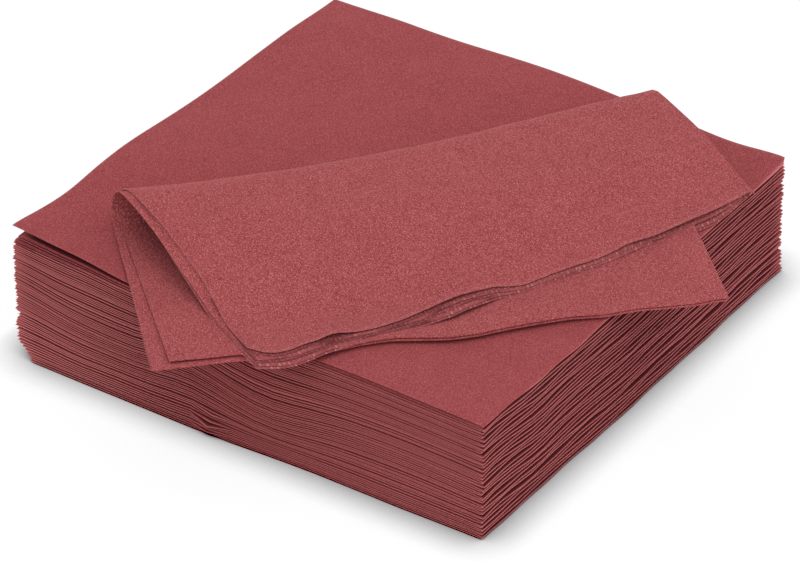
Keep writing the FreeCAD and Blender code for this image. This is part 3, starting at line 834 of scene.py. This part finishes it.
def makeLoose():
    look = looseLook
    piece = foldedNapkin("tissueNapkinLoose", look, handledAndLitTissue, look["seed"], look["steps"])
    place, flat = pointsOf(piece.data)
    side = look["side"]
    t, s, depth = place[:, 0] + side / 2, place[:, 1] + side / 2, place[:, 2] - look["layer"] / 2
    # layers from the outermost in: 0 and 1 belong to the leaf below, 2 and 3 to the one inside it
    belowLeaf, rearLeaf = flat[:, 0] < 0, flat[:, 1] > 0
    layerNumber = np.where(belowLeaf, np.where(rearLeaf, 0, 1), np.where(rearLeaf, 3, 2))
    innerPair = layerNumber > 1
    run = np.clip(s / side, 0, 1)
    # raw front edges: the waves shorten the upper half, and each layer shows its own border
    left, right = look["shorter"]
    s = s - (left + (right - left) * t / side) * run ** 3
    reaches = [np.interp(t, edgePlaces, row) for row in frontReach]
    reach = np.choose(layerNumber, reaches)
    # how far a point of an inner layer stands out from under the raw edge above it
    standsOut = (run - 1) * side + reach - np.choose(layerNumber, [reaches[0]] + reaches[:3])
    s = s + reach * swell(run, look["upperFront"])
    s = s - np.interp(t, edgePlaces, lowerReach) * (1 - swell(run, look["lowerFront"]))
    outermost = swell(run, look["outermostIn"]) - swell(run, look["outermostOut"])
    inner = [depthIn * (1 - run) ** 1.3 + atEnd for depthIn, atEnd in look["innerIn"]]
    insets = [outermost, look["secondIn"] * (1 + run)] + inner
    t = t + np.choose(layerNumber, insets) * np.clip(1 - t / side, 0, 1) ** 3
    cornerIn, cornerRun = look["cornerIn"]
    cornerIn = cornerIn * np.clip(1 - t / cornerRun, 0, 1) * (1 - swell(run, look["lowerCorner"]))
    s = s + np.where(innerPair, cornerIn, 0)
    low, high = look["spread"]
    t = t * (low + (high - low) * swell(run, look["spreadGrows"]))
    place = LooseBend(look).place(s, t, depth)
    # it lies on the pile, and on the air that the pile's uppermost leaf holds
    edge = pileLook["side"] / 2 - 0.5
    x, y = np.clip(place[:, 0], -70, edge), np.clip(place[:, 1], -edge, edge)
    rise = pileHeight + look["rest"] + leanOut(x, y, 1.0) + leafRise(x, y)
    cornerUp, cornerRun = look["cornerUp"]
    cornerUp = cornerUp * (1 - smooth(t / cornerRun)) * (1 - swell(run, look["lowerCornerUp"]))
    rise = rise + np.where(innerPair, cornerUp, 0)
    rise = rise + np.interp(t, edgePlaces, lowerRise) * (1 - swell(run, look["lowerEdgeUp"]))
    rise = rise + wave(t, look["raised"]) * swell(run, look["raisedFront"])
    pockets = sum(wave(t, shape) for shape in look["pockets"]) + look["pocketEven"]
    rise = rise + np.where(layerNumber == 0, pockets * swell(run, look["pocketFront"]), 0)
    sag = swell(t, look["sag"]) * (1 - swell(t, look["sagEnds"])) * swell(run, look["sagFront"])
    place[:, 2] += rise - sag * np.take(look["sagShares"], layerNumber)
    fromEdge = side - np.abs(flat)
    inBorder = smooth((look["border"] - fromEdge) / look["borderEdge"])
    border = np.maximum(inBorder[:, 0] * (look["dotsLeft"] + wave(run, look["dotsInLoop"])),
                        inBorder[:, 1] * swell(run, look["dotsFront"]))
    border *= np.take(look["dotsByLayer"], layerNumber)
    underFront = wave(standsOut, look["frontShade"]) * swell(run, look["frontShadeRun"])
    lyingIn = t - np.choose(layerNumber, [insets[1], insets[0], insets[1], insets[2]])
    underLeft = wave(lyingIn, look["leftShade"]) * swell(run, look["leftShadeRun"])
    inGap = np.maximum(underFront * (layerNumber > 0), underLeft * ~innerPair)
    finishPaper(piece, place, flat, border, side, inGap)
    return piece


loose = makeLoose()
print("loose napkin bent over")

for number, piece in enumerate(pile + [loose], start=1):
    node = "napkin_%02d" % number if number <= len(pile) else "loose_napkin"
    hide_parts(node)
    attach(piece, root)


studioLook = {
    "floorSide": 4.0,          # m
    "floorWhite": 1.04,        # how bright the camera sees the open floor
    "skyLow": 1.85,            # the room's light near the horizon and overhead
    "skyHigh": 0.62,
    "sunStrength": 1.1,
    "sunSpread": 70.0,         # degrees, for soft edges
    "sunFrom": (0.15, -0.12, 1.0),
    "whiteShare": 0.85,        # how much of the floor's white the camera sees as it is
    "contactReach": 0.013,     # m, how far the painted contact shadow under the object's edges spreads
    "contactDepth": 1.4,       # and how dark it is
}


def paleFloorMaterial():
    # smooth white studio sheet: even white to the eye, with only the object's soft shadow on it, a little
    # of it real and the rest painted, where the white glow that the camera sees is dimmed near the object
    material = bpy.data.materials.new("mattWhiteSheet")
    material.use_nodes = True
    tree = material.node_tree
    tree.nodes.clear()
    rays = addNode(tree, "ShaderNodeLightPath").outputs
    seen = addNode(tree, "ShaderNodeMath", {"operation": "MAXIMUM"}, {
        0: rays["Is Camera Ray"], 1: rays["Is Glossy Ray"]}).outputs[0]
    share = addNode(tree, "ShaderNodeMath", {"operation": "MULTIPLY"}, {
        0: seen, 1: studioLook["whiteShare"]}).outputs[0]
    matt = addNode(tree, "ShaderNodeBsdfDiffuse", links={"Color": linearColour("#f4f4f6")}).outputs[0]
    # painted contact shadow: the white glow dims where the object hems the floor in
    openness = addNode(tree, "ShaderNodeAmbientOcclusion", {"samples": 12}, {
        "Distance": studioLook["contactReach"]}).outputs["AO"]
    level = addNode(tree, "ShaderNodeMath", {"operation": "MULTIPLY_ADD"}, {
        0: openness, 1: studioLook["contactDepth"],
        2: studioLook["floorWhite"] - studioLook["contactDepth"]}).outputs[0]
    white = addNode(tree, "ShaderNodeEmission", links={
        "Color": (1, 1, 1, 1), "Strength": level}).outputs[0]
    both = addNode(tree, "ShaderNodeMixShader", links={0: share, 1: matt, 2: white}).outputs[0]
    addNode(tree, "ShaderNodeOutputMaterial", links={"Surface": both})
    return material


def makeFloor():
    side = studioLook["floorSide"] / 2
    mesh = bpy.data.meshes.new("studioFloor")
    corners = [(-side, -side, 0), (side, -side, 0), (side, side, 0), (-side, side, 0)]
    mesh.from_pydata(corners, [], [(0, 1, 2, 3)])
    mesh.materials.append(paleFloorMaterial())
    floor = bpy.data.objects.new("studioFloor", mesh)
    bpy.context.scene.collection.objects.link(floor)


def makeLight():
    world = bpy.data.worlds.new("softRoom")
    bpy.context.scene.world = world
    world.use_nodes = True
    tree = world.node_tree
    tree.nodes.clear()
    rays = addNode(tree, "ShaderNodeLightPath").outputs
    seen = addNode(tree, "ShaderNodeMath", {"operation": "MAXIMUM"}, {
        0: rays["Is Camera Ray"], 1: rays["Is Glossy Ray"]}).outputs[0]
    towards = addNode(tree, "ShaderNodeTexCoord").outputs["Generated"]
    height = addNode(tree, "ShaderNodeSeparateXYZ", links={0: towards}).outputs["Z"]
    strength = addNode(tree, "ShaderNodeMapRange", {}, {
        "Value": height, "From Min": 0.0, "From Max": 0.5,
        "To Min": studioLook["skyLow"], "To Max": studioLook["skyHigh"]}).outputs["Result"]
    room, white = (addNode(tree, "ShaderNodeBackground", links={
        "Color": (1, 1, 1, 1), "Strength": level}).outputs[0] for level in (strength, 1.0))
    both = addNode(tree, "ShaderNodeMixShader", links={0: seen, 1: room, 2: white}).outputs[0]
    addNode(tree, "ShaderNodeOutputWorld", links={"Surface": both})
    lamp = bpy.data.lights.new("softboxAbove", "SUN")
    lamp.energy = studioLook["sunStrength"]
    lamp.angle = math.radians(studioLook["sunSpread"])
    lampObject = bpy.data.objects.new("softboxAbove", lamp)
    direction = np.array(studioLook["sunFrom"])
    direction = direction / np.linalg.norm(direction)
    bearing = math.atan2(direction[1], direction[0])
    lampObject.rotation_euler = (math.acos(direction[2]), 0, bearing + math.pi / 2)
    bpy.context.scene.collection.objects.link(lampObject)


cameraLook = {
    "place": (0.66124, -0.97662, 0.81313),      # m
    "tilt": 90 - 34.23,        # degrees, up from straight down
    "turn": 34.16,             # degrees
    "lens": 213.7,             # mm, on a sensor 36 mm wide
}


def makeCamera():
    camera = bpy.data.cameras.new("photoView")
    camera.lens = cameraLook["lens"]
    camera.sensor_width = 36
    camera.sensor_fit = "HORIZONTAL"
    camera.clip_end = 20
    view = bpy.data.objects.new("photoView", camera)
    view.location = cameraLook["place"]
    view.rotation_euler = (math.radians(cameraLook["tilt"]), 0, math.radians(cameraLook["turn"]))
    bpy.context.scene.collection.objects.link(view)
    bpy.context.scene.camera = view


makeFloor()
makeLight()
makeCamera()
bpy.context.scene.view_settings.view_transform = "Standard"
print("floor, light and camera set")
